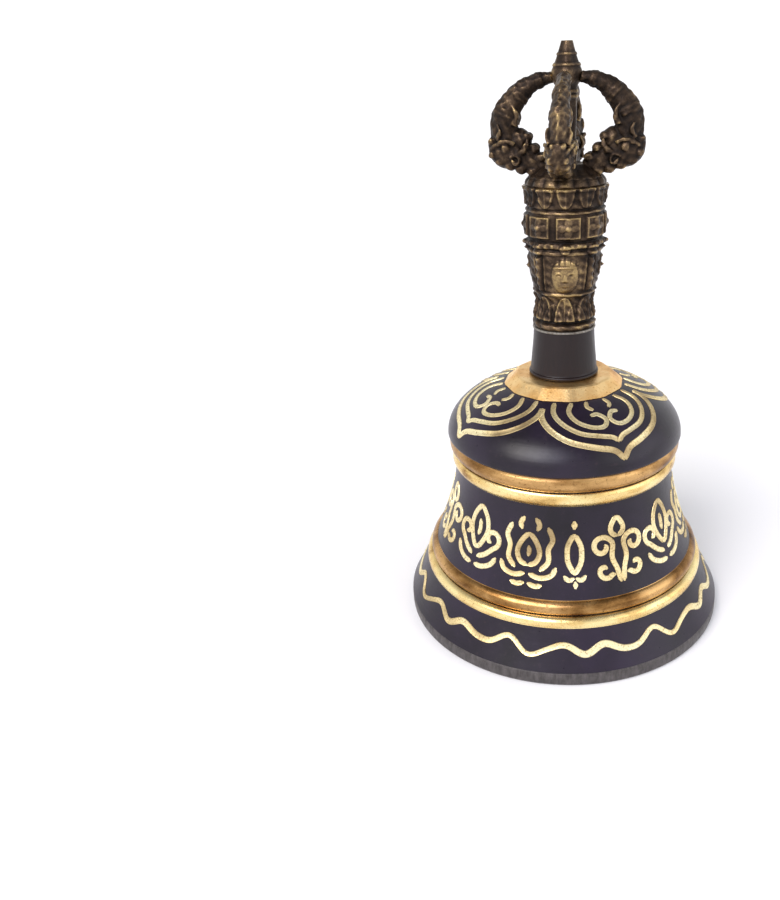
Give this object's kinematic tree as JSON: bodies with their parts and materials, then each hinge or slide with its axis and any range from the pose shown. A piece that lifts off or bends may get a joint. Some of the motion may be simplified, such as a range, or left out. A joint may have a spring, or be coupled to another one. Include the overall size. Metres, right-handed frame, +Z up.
{
  "type": "tibetan hand bell",
  "caption": "Turned hand bell with dark engraved body, gilt bands, dark ferrule, cast handle topped by a closed vajra, and a clapper hanging on a link.",
  "frame": {"origin": "centre of the lip, in the plane the bell stands on", "axes": "+Z up along the bell's and handle's common axis, -Y towards the front of the bell, +X to its right"},
  "size_m": [0.088, 0.088, 0.1457],
  "materials": {
    "dark_bell_metal": "satin",
    "polished_brass": "satin",
    "dark_stained_brass": "satin",
    "antiqued_brass": "satin",
    "plain_steel": "satin",
    "forged_iron": "satin",
    "leather": "matte",
    "pitch": "matte"
  },
  "bodies": {
    "bell": {"bell_shell": "dark_bell_metal", "crown_seat": "polished_brass", "ferrule": "dark_stained_brass", "handle_grip": "antiqued_brass", "handle_insert": "polished_brass", "handle_filling": "pitch", "vajra_hub": "antiqued_brass", "centre_prong": "antiqued_brass", "prong_front": "antiqued_brass", "prong_right": "antiqued_brass", "prong_back": "antiqued_brass", "prong_left": "antiqued_brass", "eye_bolt": "plain_steel", "crown_nut": "plain_steel", "crown_washer": "plain_steel", "leather_washer": "leather"},
    "link": {"link_ring": "plain_steel"},
    "clapper": {"clapper_shank": "plain_steel", "clapper_bob": "forged_iron", "clapper_end_washer": "plain_steel"}
  },
  "joints": [
    {"name": "link_swing", "type": "hinge", "parent": "bell", "child": "link", "pos_m": [0, 0, 0.0491], "axis": [1, 0, 0], "range_deg": [-10, 10]},
    {"name": "clapper_swing", "type": "hinge", "parent": "link", "child": "clapper", "pos_m": [0, 0, 0.0435], "axis": [0, 1, 0], "range_deg": [-44, 44]}
  ]
}
